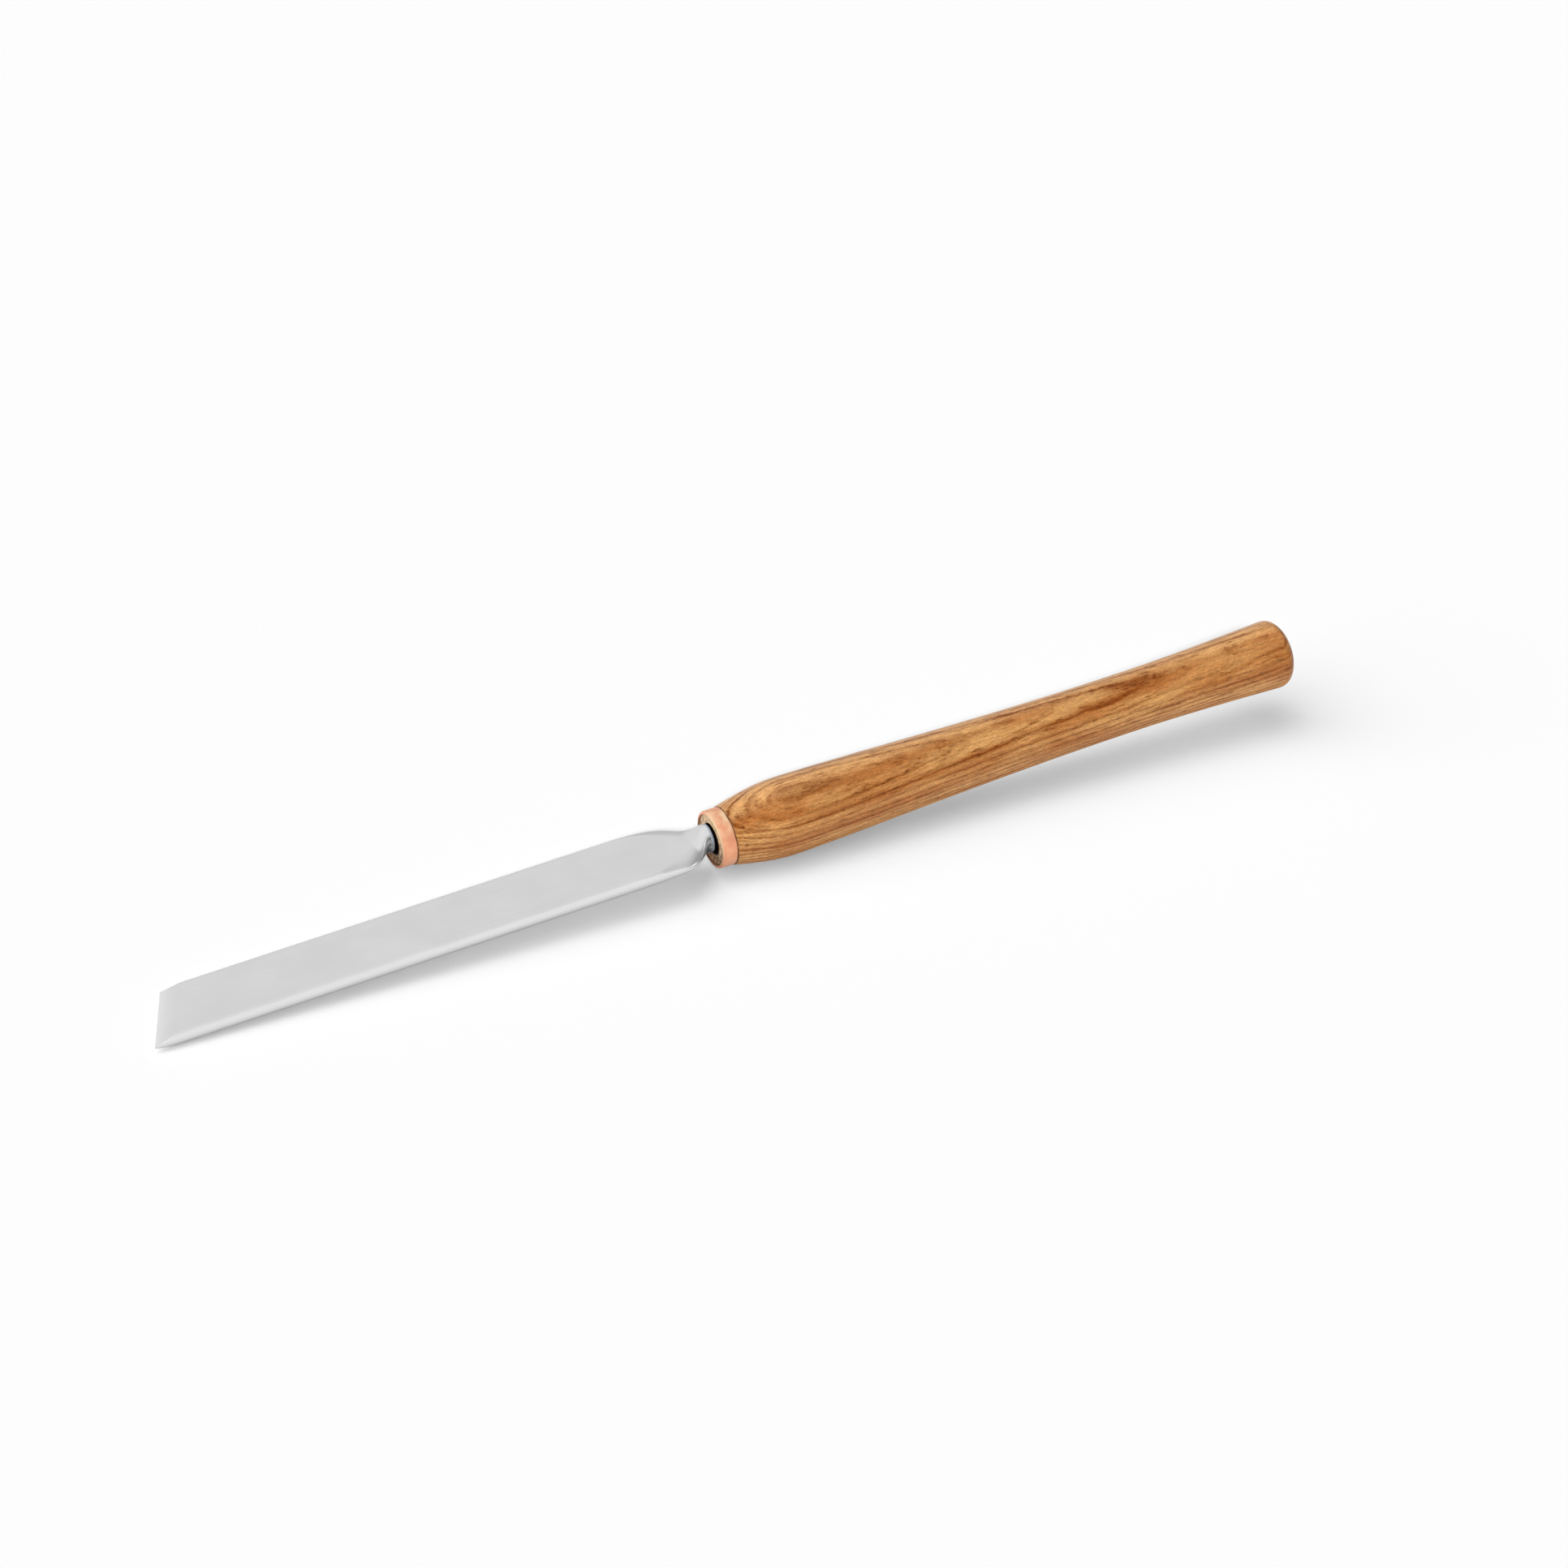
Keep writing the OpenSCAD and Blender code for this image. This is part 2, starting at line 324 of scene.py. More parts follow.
def half_width(size, before, side):
    """Half the blade's width on one side, at a distance before the neck. The side draws in over its own length."""
    draw = ease(max(0.0, 1 - before / side) ** SHOULDER_DELAY)
    return mix(size.width, size.neck, draw) / 2


def edge_radius(size, half_t):
    """Radius of the long edges where the bevels have ground the bar thinner."""
    left = (half_t - size.thickness / 2) / size.edge_round + 1
    radius = mix(size.bevel_round, size.edge_round, min(max(left, 0.0), 1.0))
    return min(radius, EDGE_SHARE * half_t)


def half_thickness(size, depth):
    """Half the blade's thickness at a distance behind the cutting edge: honed strip, bevel and flat."""
    honed = min(depth, size.honed) * math.tan(size.honed_angle / 2)
    ground = max(depth - size.honed, 0.0) * math.tan(size.edge_angle / 2)
    return soft_least(size.edge_land / 2 + honed + ground, size.thickness / 2, size.bevel_blend)


def blade_rings(size):
    """Rings of points from the cutting edge to the end of the tang."""
    half_w = size.width / 2
    slope = math.tan(size.skew)
    rim_x = -size.neck_gap
    neck_x = rim_x - size.rim_round
    shoulder = max(size.heel_shoulder, size.toe_shoulder)
    shoulder_x = neck_x - shoulder
    tang_x = BLADE_HIGH.x - FRONT_X

    def ring(x, outline, slant=0.0):
        return [Vector((FRONT_X + x + slant * y, y, size.lift + z)) for y, z in outline]

    rings = []
    middle_x = -size.reach + half_w * slope
    depths = [share * size.honed for share in HONED_SHARES]
    depths += [BEVEL_START + BEVEL_STEP * step for step in range(BEVEL_RINGS)]
    for depth in depths:
        half_t = half_thickness(size, depth)
        x = middle_x + depth / math.cos(size.skew)
        rings.append(ring(x, round_outline(half_w, half_t, edge_radius(size, half_t)), slope))
    start_x = middle_x + depths[-1] / math.cos(size.skew)
    bar = round_outline(half_w, size.thickness / 2, size.edge_round)
    for step in range(1, BAR_RINGS):
        share = step / BAR_RINGS
        rings.append(ring(mix(start_x, shoulder_x, share), bar, slope * (1 - share) ** 2))
    for step in range(SHOULDER_RINGS + 1):
        before = shoulder * (1 - step / SHOULDER_RINGS)
        heel = half_width(size, before, size.heel_shoulder)
        toe = half_width(size, before, size.toe_shoulder)
        swell = ease(max(0.0, 1 - before / size.swell))
        outline = round_outline(
            (heel + toe) / 2,
            mix(size.thickness, size.neck, swell) / 2,
            mix(size.edge_round, size.neck / 2, swell),
            ease(max(0.0, 1 - before / size.crown)),
        )
        rings.append(ring(neck_x - before, [(y + (heel - toe) / 2, z) for y, z in outline]))
    for step in range(1, RIM_RINGS + 1):
        turn = math.pi / 2 * step / RIM_RINGS
        radius = size.neck / 2 - size.rim_round * (1 - math.cos(turn))
        rings.append(ring(neck_x + size.rim_round * math.sin(turn), round_outline(radius, radius, radius)))
    for step in range(TANG_RINGS + 1):
        share = step / TANG_RINGS
        radius = mix(size.tang, size.tang_end, share) / 2
        rings.append(ring(mix(rim_x, tang_x, share), round_outline(radius, radius, radius)))
    return rings


# Steps round each corner of the copper ring's section
FERRULE_STEPS = 8


def ferrule_profile(size):
    """Closed section of the copper ring, as places along the axis and radii."""
    outer = size.diameter / 2
    inner = outer - size.wall
    corners = [
        (0.0, outer, size.rim_round, math.pi),
        (size.length, outer, size.cut_round, math.pi / 2),
        (size.length, inner, size.cut_round, 0.0),
        (0.0, inner, size.cut_round, -math.pi / 2),
    ]
    section = []
    for x, radius, corner, start in corners:
        centre_x = x + corner if x == 0.0 else x - corner
        centre_r = radius - corner if radius == outer else radius + corner
        for step in range(FERRULE_STEPS + 1):
            turn = start - math.pi / 2 * step / FERRULE_STEPS
            section.append((centre_x + corner * math.cos(turn), centre_r + corner * math.sin(turn)))
    return section


# How early the handle thins behind the belly: at 1 the change is even
GRIP_DELAY = 0.75
# Fullness of the butt's rounding: 2 is an ellipse. Its last ring leaves a small flat, which closes the end
BUTT_FULLNESS = 2.5
BUTT_LAST = 0.99
# Small bevels round the mouth and the front of the tenon
MOUTH_EDGE = 0.3 * MM
TENON_EDGE = 0.2 * MM
# Rings along the edge of the collar, the swell to the belly, the grip, the flare and the butt's rounding
COLLAR_RINGS = 6
BELLY_RINGS = 24
GRIP_RINGS = 60
FLARE_RINGS = 30
BUTT_RINGS = 24


def handle_rings(size, blade, ferrule):
    """Rings of points from the end of the socket, out through the mouth and back along the turned outside."""
    tenon = ferrule.diameter / 2 - ferrule.wall - size.fit
    collar_x = ferrule.length + size.collar_round
    butt_x = size.length - size.butt_round
    mouth_x = size.recess + size.mouth_depth
    tang_len = BLADE_HIGH.x - FRONT_X + blade.neck_gap
    taper = (blade.tang - blade.tang_end) / 2 / tang_len

    def socket_radius(x):
        return blade.tang / 2 + size.tang_fit - taper * (x + blade.neck_gap)

    end_x = BLADE_HIGH.x - FRONT_X + size.tang_room
    rings = [turned_ring(x, socket_radius(x), blade.lift) for x in (end_x, mix(end_x, mouth_x, 0.5), mouth_x)]
    rings += [
        turned_ring(mouth_x, size.mouth / 2, size.mouth_lift),
        turned_ring(size.recess + MOUTH_EDGE, size.mouth / 2, size.mouth_lift),
        turned_ring(size.recess, size.mouth / 2 + MOUTH_EDGE, size.mouth_lift),
    ]
    lathe = [
        (size.recess, tenon - TENON_EDGE),
        (size.recess + TENON_EDGE, tenon),
        (ferrule.length, tenon),
    ]
    for step in range(COLLAR_RINGS + 1):
        turn = math.pi / 2 * step / COLLAR_RINGS
        lathe.append((
            ferrule.length + size.collar_round * (1 - math.cos(turn)),
            size.collar / 2 - size.collar_round * (1 - math.sin(turn)),
        ))
    for step in range(1, BELLY_RINGS + 1):
        share = step / BELLY_RINGS
        radius = mix(size.collar, size.belly, math.sin(math.pi / 2 * share)) / 2
        lathe.append((mix(collar_x, size.belly_at, share), radius))
    for step in range(1, GRIP_RINGS + 1):
        share = step / GRIP_RINGS
        radius = mix(size.belly, size.waist, ease(share ** GRIP_DELAY)) / 2
        lathe.append((mix(size.belly_at, size.waist_at, share), radius))
    for step in range(1, FLARE_RINGS + 1):
        share = step / FLARE_RINGS
        radius = mix(size.waist, size.butt, 1 - math.cos(math.pi / 2 * share)) / 2
        lathe.append((mix(size.waist_at, butt_x, share), radius))
    power = 2 / BUTT_FULLNESS
    for step in range(1, BUTT_RINGS + 1):
        turn = math.pi / 2 * min(step / BUTT_RINGS, BUTT_LAST)
        lathe.append((
            butt_x + size.butt_round * math.sin(turn) ** power,
            size.butt / 2 * math.cos(turn) ** power,
        ))
    return rings + [turned_ring(x, radius) for x, radius in lathe]


def add(tree, kind, inputs=None, out=0, stops=None, **settings):
    """Adds a node with its settings, values, links and ramp stops. Returns one of its outputs, if it has any.

    A noise mostly lies between 0.3 and 0.7, and the ranges that spread one allow for that.
    """
    made = tree.nodes.new(kind)
    for name, value in settings.items():
        setattr(made, name, value)
    for socket, value in (inputs or {}).items():
        if isinstance(value, bpy.types.NodeSocket):
            tree.links.new(value, made.inputs[socket])
        else:
            made.inputs[socket].default_value = value
    for at, (place, shade) in enumerate(stops or []):
        ramp = made.color_ramp.elements
        stop = ramp[at] if at < 2 else ramp.new(place)
        stop.position, stop.color = place, shade
    return made.outputs[out] if made.outputs else made


def new_material(name):
    """Empty material with the tree it is built in."""
    material = bpy.data.materials.new(name)
    material.use_nodes = True
    material.node_tree.nodes.clear()
    return material, material.node_tree


def greyed(tree, tone):
    """The tone as it is seen. What bounces on to table and steel is its grey, so that they stay neutral."""
    path = add(tree, "ShaderNodeLightPath").node.outputs
    bounced = add(tree, "ShaderNodeMath", {0: path["Is Diffuse Ray"], 1: path["Is Glossy Ray"]}, use_clamp=True)
    grey = add(tree, "ShaderNodeRGBToBW", {0: tone})
    return add(tree, "ShaderNodeMix", {0: bounced, 6: tone, 7: grey}, out=2, data_type="RGBA")


def ground_steel(finish, size):
    """Tool steel, ground along the flats, lighter on the bevels, and satin polished: an even neutral grey sheen,
    with lengthwise streaks that hardly show. The narrow sides carry a painted highlight at the top and painted shade
    downwards, the neck's rim is left unpolished, and the tang is black from the forge and as painted shade in the
    mouth."""
    material, tree = new_material("Ground tool steel")
    place = add(tree, "ShaderNodeTexCoord", out="Object")
    # Grinding streaks, 60 mm long: 0.1 mm wide in the real steel, drawn 0.7 mm wide so that they show
    streak_size = (60 * MM, 0.7 * MM, 0.7 * MM)
    along = add(tree, "ShaderNodeVectorMath", {0: place, 1: streak_size}, operation="DIVIDE")
    streak = add(tree, "ShaderNodeTexNoise", {"Vector": along, "Scale": 1.0, "Detail": 3.0})
    # Cloudy polish, about 18 mm across
    cloud = add(tree, "ShaderNodeTexNoise", {"Vector": place, "Scale": 1 / (18 * MM), "Detail": 2.0})
    share = add(tree, "ShaderNodeMath", {0: streak, 1: 0.4, 2: cloud}, operation="MULTIPLY_ADD")
    shade = add(tree, "ShaderNodeMapRange", {0: share, 1: 0.5, 2: 0.9})
    tone = add(tree, "ShaderNodeMix", {0: shade, 6: finish.steel, 7: finish.steel_shade}, out=2, data_type="RGBA")
    # Bevels, by the distance behind the cutting edge: the lighter tone fades out over their run
    half_w = size.width / 2
    edge = Vector((math.cos(size.skew), -math.sin(size.skew), 0.0))
    tip = edge.dot(Vector((BLADE_LOW.x, -half_w, 0.0)))
    depth = add(tree, "ShaderNodeVectorMath", {0: place, 1: edge}, out="Value", operation="DOT_PRODUCT")
    run = size.thickness / 2 / math.tan(size.edge_angle / 2)
    bevel = add(tree, "ShaderNodeMapRange", {0: depth, 1: tip, 2: tip + run, 3: 1.0, 4: 0.0})
    bevel = add(tree, "ShaderNodeMath", {0: bevel, 1: bevel}, operation="MULTIPLY")
    tone = add(tree, "ShaderNodeMix", {0: bevel, 6: tone, 7: finish.steel_bevel_and_side_highlight}, out=2, data_type="RGBA")
    # Narrow sides with their rounded edges: a painted highlight at the top, and painted shade from just above the
    # middle downwards
    axes = add(tree, "ShaderNodeSeparateXYZ", {0: place}).node.outputs
    side = add(tree, "ShaderNodeMath", {0: axes["Y"]}, operation="ABSOLUTE")
    side = add(tree, "ShaderNodeMapRange", {0: side, 1: half_w - 1.2 * MM, 2: half_w - 0.2 * MM})
    tone = add(tree, "ShaderNodeMix", {0: side, 6: tone, 7: finish.steel_bevel_and_side_highlight}, out=2, data_type="RGBA")
    low = add(tree, "ShaderNodeMapRange", {0: axes["Z"], 1: size.lift + 0.9 * MM, 2: size.lift - 3.1 * MM})
    low = add(tree, "ShaderNodeMath", {0: low, 1: side}, operation="MULTIPLY")
    tone = add(tree, "ShaderNodeMix", {0: low, 6: tone, 7: finish.steel_side_shade}, out=2, data_type="RGBA")
    # Rim of the neck, rougher than the rest, and the tang behind it, black from forge scale and as painted shade in
    # the mouth
    back_x = FRONT_X - size.neck_gap
    rim_x = back_x - size.rim_round
    rim = add(tree, "ShaderNodeMapRange", {0: axes["X"], 1: rim_x - 0.5 * MM, 2: rim_x + 0.2 * MM})
    tone = add(tree, "ShaderNodeMix", {0: rim, 6: tone, 7: finish.steel_rim}, out=2, data_type="RGBA")
    forged_and_shaded = add(tree, "ShaderNodeMapRange", {0: axes["X"], 1: back_x + 0.05 * MM, 2: back_x + 0.15 * MM})
    tone = add(tree, "ShaderNodeMix", {0: forged_and_shaded, 6: tone, 7: finish.steel_scale_and_shade}, out=2, data_type="RGBA")
    rough = add(tree, "ShaderNodeMapRange", {0: share, 1: 0.5, 2: 0.9, 3: 0.20, 4: 0.25})
    rough = add(tree, "ShaderNodeMath", {0: rim, 1: 0.35, 2: rough}, operation="MULTIPLY_ADD")
    bump = add(tree, "ShaderNodeBump", {"Strength": 0.04, "Distance": 0.03 * MM, "Height": streak})
    shader = add(tree, "ShaderNodeBsdfPrincipled", {
        "Base Color": tone, "Metallic": 1.0, "Roughness": rough, "Normal": bump,
    })
    add(tree, "ShaderNodeOutputMaterial", {"Surface": shader})
    return material


def wiped_copper(finish, size):
    """Copper tube, cut off, rounded at the front and wiped: a warm satin ring with soft clouds of pinkish tarnish,
    painted highlights on the top, a bared rim with a painted highlight above and painted shade below, and stains
    along the joint."""
    material, tree = new_material("Wiped copper")
    place = add(tree, "ShaderNodeTexCoord", out="Object")
    # Clouds of tarnish, about 6 mm across
    cloud = add(tree, "ShaderNodeTexNoise", {"Vector": place, "Scale": 1 / (6 * MM), "Detail": 2.0})
    share = add(tree, "ShaderNodeMapRange", {0: cloud, 1: 0.32, 2: 0.68}, interpolation_type="SMOOTHSTEP")
    tone = add(tree, "ShaderNodeMix", {
        0: share, 6: finish.copper, 7: finish.copper_tarnish,
    }, out=2, data_type="RGBA")
    # Painted highlight: bright patches on the top, about 4 mm across
    top = add(tree, "ShaderNodeVectorMath", {0: place, 1: (0.0, -0.3, 0.95)}, out="Value", operation="DOT_PRODUCT")
    top = add(tree, "ShaderNodeMapRange", {0: top, 1: 7.5 * MM, 2: 11 * MM}, interpolation_type="SMOOTHSTEP")
    painted_highlight = add(tree, "ShaderNodeTexNoise", {"Vector": place, "Scale": 1 / (4 * MM), "Detail": 2.0})
    painted_highlight = add(tree, "ShaderNodeMapRange", {0: painted_highlight, 1: 0.3, 2: 0.7, 4: 0.75}, interpolation_type="SMOOTHSTEP")
    painted_highlight = add(tree, "ShaderNodeMath", {0: painted_highlight, 1: top}, operation="MULTIPLY")
    tone = add(tree, "ShaderNodeMix", {0: painted_highlight, 6: tone, 7: finish.copper_rim_and_highlight}, out=2, data_type="RGBA")
    # Bared rim: the first half millimetre, with painted shade below and a painted highlight towards the long point's
    # side of the top
    x = add(tree, "ShaderNodeSeparateXYZ", {0: place})
    front = add(tree, "ShaderNodeMapRange", {
        0: x, 1: FRONT_X + 0.1 * MM, 2: FRONT_X + 0.5 * MM, 3: 1.0, 4: 0.0,
    }, interpolation_type="SMOOTHSTEP")
    side = add(tree, "ShaderNodeVectorMath", {0: place, 1: (0.0, -0.7, 0.7)}, out="Value", operation="DOT_PRODUCT")
    upper = add(tree, "ShaderNodeMapRange", {0: side, 1: -8 * MM, 2: 10 * MM})
    rim = add(tree, "ShaderNodeValToRGB", {0: upper}, stops=[
        (0.0, finish.copper_stain_and_shade), (1.0, finish.copper_rim_and_highlight), (0.35, finish.copper_tarnish), (0.6, finish.copper),
    ])
    tone = add(tree, "ShaderNodeMix", {0: front, 6: tone, 7: rim}, out=2, data_type="RGBA")
    # Stain along the joint with the wood, half a millimetre wide and broken every 2 mm
    grime = add(tree, "ShaderNodeTexNoise", {"Vector": place, "Scale": 1 / (2 * MM), "Detail": 2.0})
    reach = add(tree, "ShaderNodeMath", {0: grime, 1: 0.9 * MM, 2: x}, operation="MULTIPLY_ADD")
    back_x = FRONT_X + size.length
    back = add(tree, "ShaderNodeMapRange", {0: reach, 1: back_x - 0.1 * MM, 2: back_x + 0.35 * MM})
    tone = add(tree, "ShaderNodeMix", {0: back, 6: tone, 7: finish.copper_stain_and_shade}, out=2, data_type="RGBA")
    # Turning lines round the ring: 0.1 mm apart in the real copper, drawn 0.4 mm apart so that they show
    line_size = (0.4 * MM, 20 * MM, 20 * MM)
    around = add(tree, "ShaderNodeVectorMath", {0: place, 1: line_size}, operation="DIVIDE")
    line = add(tree, "ShaderNodeTexNoise", {"Vector": around, "Scale": 1.0, "Detail": 2.0})
    rough = add(tree, "ShaderNodeMapRange", {0: cloud, 1: 0.3, 2: 0.7, 3: 0.40, 4: 0.50})
    bump = add(tree, "ShaderNodeBump", {"Strength": 0.1, "Distance": 0.05 * MM, "Height": line})
    shader = add(tree, "ShaderNodeBsdfPrincipled", {
        "Base Color": greyed(tree, tone), "Metallic": 1.0, "Roughness": rough, "Normal": bump,
    })
    add(tree, "ShaderNodeOutputMaterial", {"Surface": shader})
    return material


# Turn of the oak in the lathe: the flat-sawn face lies this far from the top, towards the long point's side
OAK_TURN = math.radians(28)
# Distance from the handle's axis to the pith, and width of a year's ring, in millimetres
PITH_DEPTH = 61.0
RING_WIDTH = 1.8
# The stem bends away from the axis behind this place, by this much over this length, in millimetres
BEND_AT = 140.0
BEND = 3.0
BEND_LENGTH = 100.0
# A dry year, which left a darker ring, comes after so many years. One of its rings, counted from the pith
DRY_YEARS = 3.0
DRY_RING = 40.0


def oiled_oak(finish, size):
    """Oak, turned, sanded and oiled: honey-brown wood with wavy bands of open pores at the start of each year's
    ring, which run as lines along the sides and as flames on the flat-sawn face, painted light on paler wood beside
    the top and low down, bare end grain at the front, a bore both scorched and darkened as painted shade, and a low
    satin sheen."""
    material, tree = new_material("Oiled oak")
    place = add(tree, "ShaderNodeTexCoord", out="Object")
    # The tree's own frame in millimetres: X along the fibres, Z out from the pith
    log = add(tree, "ShaderNodeMapping", {
        "Vector": place, "Rotation": (-OAK_TURN, 0.0, 0.0), "Scale": (1 / MM,) * 3,
    })
    # Slow wander of the fibres, their waves and their ripple: length, width and drift in millimetres
    for along, wide, drift in ((70, 14, 1.0), (9, 4, 0.5), (2.2, 1.0, 0.4)):
        spot = add(tree, "ShaderNodeVectorMath", {0: log, 1: (along, wide, wide)}, operation="DIVIDE")
        wave = add(tree, "ShaderNodeTexNoise", {"Vector": spot, "Scale": 1.0, "Detail": 2.0}, out="Color")
        wave = add(tree, "ShaderNodeVectorMath", {0: wave, 1: (0.5, 0.5, 0.5)}, operation="SUBTRACT")
        log = add(tree, "ShaderNodeVectorMath", {
            0: wave, 1: (0.0, drift, drift), 2: log,
        }, operation="MULTIPLY_ADD")
    axes = add(tree, "ShaderNodeSeparateXYZ", {0: log}).node.outputs
    # Distance from the pith, with the stem's bend
    bend = add(tree, "ShaderNodeMath", {0: axes["X"], 1: BEND_AT + FRONT_X / MM}, operation="SUBTRACT")
    bend = add(tree, "ShaderNodeMath", {0: bend, 1: 0.0}, operation="MAXIMUM")
    bend = add(tree, "ShaderNodeMath", {0: bend, 1: bend}, operation="MULTIPLY")
    height = add(tree, "ShaderNodeMath", {
        0: bend, 1: -BEND / BEND_LENGTH ** 2, 2: axes["Z"],
    }, operation="MULTIPLY_ADD")
    height = add(tree, "ShaderNodeMath", {0: height, 1: PITH_DEPTH}, operation="ADD")
    across = add(tree, "ShaderNodeCombineXYZ", {"Y": axes["Y"], "Z": height})
    radius = add(tree, "ShaderNodeVectorMath", {0: across}, out="Value", operation="LENGTH")
    grain = add(tree, "ShaderNodeCombineXYZ", {"X": axes["X"], "Y": axes["Y"], "Z": radius})
    # Noises along the rings: length, width and depth of their spots in millimetres. Fibres and flecks are finer
    # than 0.1 mm and pores 0.3 mm wide in the real wood, and all three are drawn coarser so that they show
    noises = []
    for spread, detail in (
        ((25, 5, 1.8), 2.0),  # fading of the bands
        ((12, 5, 0.5), 2.0),  # fine lines
        ((40, 6, 6), 2.0),  # clouds
        ((5, 0.5, 0.4), 3.0),  # fibres
        ((1.2, 0.45, 0.4), 2.0),  # flecks
        ((3, 0.6, 0.4), 1.0),  # pores
    ):
        spot = add(tree, "ShaderNodeVectorMath", {0: grain, 1: spread}, operation="DIVIDE")
        noises.append(add(tree, "ShaderNodeTexNoise", {"Vector": spot, "Scale": 1.0, "Detail": detail}))
    fade, line, cloud, fibre, fleck, pore = noises
    # Year's rings, darkest at the start of the season
    year = add(tree, "ShaderNodeMath", {0: radius, 1: 1 / RING_WIDTH}, operation="MULTIPLY")
    season = add(tree, "ShaderNodeMath", {0: year}, operation="FRACT")
    band = add(tree, "ShaderNodeValToRGB", {0: season}, stops=[
        (0.0, (1.0, 1.0, 1.0, 1.0)), (1.0, (1.0, 1.0, 1.0, 1.0)), (0.08, (0.9, 0.9, 0.9, 1.0)),
        (0.28, (0.3, 0.3, 0.3, 1.0)), (0.6, (0.05, 0.05, 0.05, 1.0)), (0.92, (0.35, 0.35, 0.35, 1.0)),
    ])
    turn = 2 * math.pi / DRY_YEARS
    dry = add(tree, "ShaderNodeMath", {0: year, 1: turn, 2: -turn * DRY_RING}, operation="MULTIPLY_ADD")
    dry = add(tree, "ShaderNodeMath", {0: dry}, operation="COSINE")
    dry = add(tree, "ShaderNodeMapRange", {0: dry, 1: -1.0, 2: 1.0, 3: 0.6, 4: 1.1})
    dark = add(tree, "ShaderNodeMath", {0: band, 1: dry}, operation="MULTIPLY")
    # The bands fade in and out every 25 mm
    fade = add(tree, "ShaderNodeMapRange", {0: fade, 1: 0.35, 2: 0.65, 3: 0.5, 4: 1.3})
    dark = add(tree, "ShaderNodeMath", {0: dark, 1: fade}, operation="MULTIPLY", use_clamp=True)
    # Finer lines along the rings, half a millimetre wide and 12 mm long
    line = add(tree, "ShaderNodeMapRange", {0: line, 1: 0.48, 2: 0.7, 4: 0.7})
    dark = add(tree, "ShaderNodeMath", {0: dark, 1: line}, operation="MAXIMUM")
    # Clouds of redder wood, 40 mm long and 6 mm across
    cloud = add(tree, "ShaderNodeMapRange", {0: cloud, 1: 0.36, 2: 0.64})
    body = add(tree, "ShaderNodeMix", {0: cloud, 6: finish.oak_light, 7: finish.oak_red}, out=2, data_type="RGBA")
    # Paler wood: a painted highlight beside the top, towards the short point's side, and on the side towards the
    # pith partly sapwood and partly painted light from the table
    top = add(tree, "ShaderNodeVectorMath", {0: place, 1: (0.0, 0.5, 0.87)}, out="Value", operation="DOT_PRODUCT")
    top = add(tree, "ShaderNodeMapRange", {0: top, 1: 7 * MM, 2: 11 * MM, 4: 0.8}, interpolation_type="SMOOTHSTEP")
    pale_and_light = add(tree, "ShaderNodeMapRange", {0: radius, 1: PITH_DEPTH + 5, 2: PITH_DEPTH, 4: 0.3})
    pale_and_light = add(tree, "ShaderNodeMath", {0: pale_and_light, 1: top}, operation="MAXIMUM")
    body = add(tree, "ShaderNodeMix", {0: pale_and_light, 6: body, 7: finish.oak_sapwood_and_light}, out=2, data_type="RGBA")
    body = add(tree, "ShaderNodeMix", {0: dark, 6: body, 7: finish.oak_dark}, out=2, data_type="RGBA")
    # Fibres and short flecks
    for pattern, low, high in ((fibre, 0.78, 1.22), (fleck, 0.8, 1.2)):
        lit = add(tree, "ShaderNodeMapRange", {0: pattern, 1: 0.3, 2: 0.7, 3: low, 4: high})
        body = add(tree, "ShaderNodeMix", {
            0: 1.0, 6: body, 7: lit,
        }, out=2, data_type="RGBA", blend_type="MULTIPLY")
    # Pores, which crowd the dark bands
    pore = add(tree, "ShaderNodeMapRange", {0: pore, 1: 0.56, 2: 0.68}, interpolation_type="SMOOTHSTEP")
    crowd = add(tree, "ShaderNodeMapRange", {0: dark, 1: 0.1, 2: 0.7, 3: 0.0, 4: 0.9})
    pore = add(tree, "ShaderNodeMath", {0: pore, 1: crowd}, operation="MULTIPLY")
    tone = add(tree, "ShaderNodeMix", {0: pore, 6: body, 7: finish.oak_pore}, out=2, data_type="RGBA")

    # Bare end grain at the front, with rough darker spots 1.3 mm across that crowd towards the bottom
    bare = add(tree, "ShaderNodeSeparateXYZ", {0: place}).node.outputs
    spots = add(tree, "ShaderNodeTexNoise", {
        "Vector": place, "Scale": 1 / (1.3 * MM), "Detail": 3.0, "Roughness": 0.6,
    })
    low = add(tree, "ShaderNodeMapRange", {0: bare["Z"], 1: 4 * MM, 2: -6 * MM, 3: -0.08, 4: 0.1})
    spots = add(tree, "ShaderNodeMath", {0: spots, 1: low}, operation="ADD")
    spots = add(tree, "ShaderNodeMapRange", {0: spots, 1: 0.36, 2: 0.64}, interpolation_type="SMOOTHSTEP")
    end = add(tree, "ShaderNodeMix", {0: spots, 6: finish.oak_end, 7: finish.oak_stain}, out=2, data_type="RGBA")
    end_x = FRONT_X + size.recess
    face = add(tree, "ShaderNodeMapRange", {
        0: bare["X"], 1: end_x + 0.1 * MM, 2: end_x + 0.3 * MM, 3: 1.0, 4: 0.0,
    })
    tone = add(tree, "ShaderNodeMix", {0: face, 6: tone, 7: end}, out=2, data_type="RGBA")
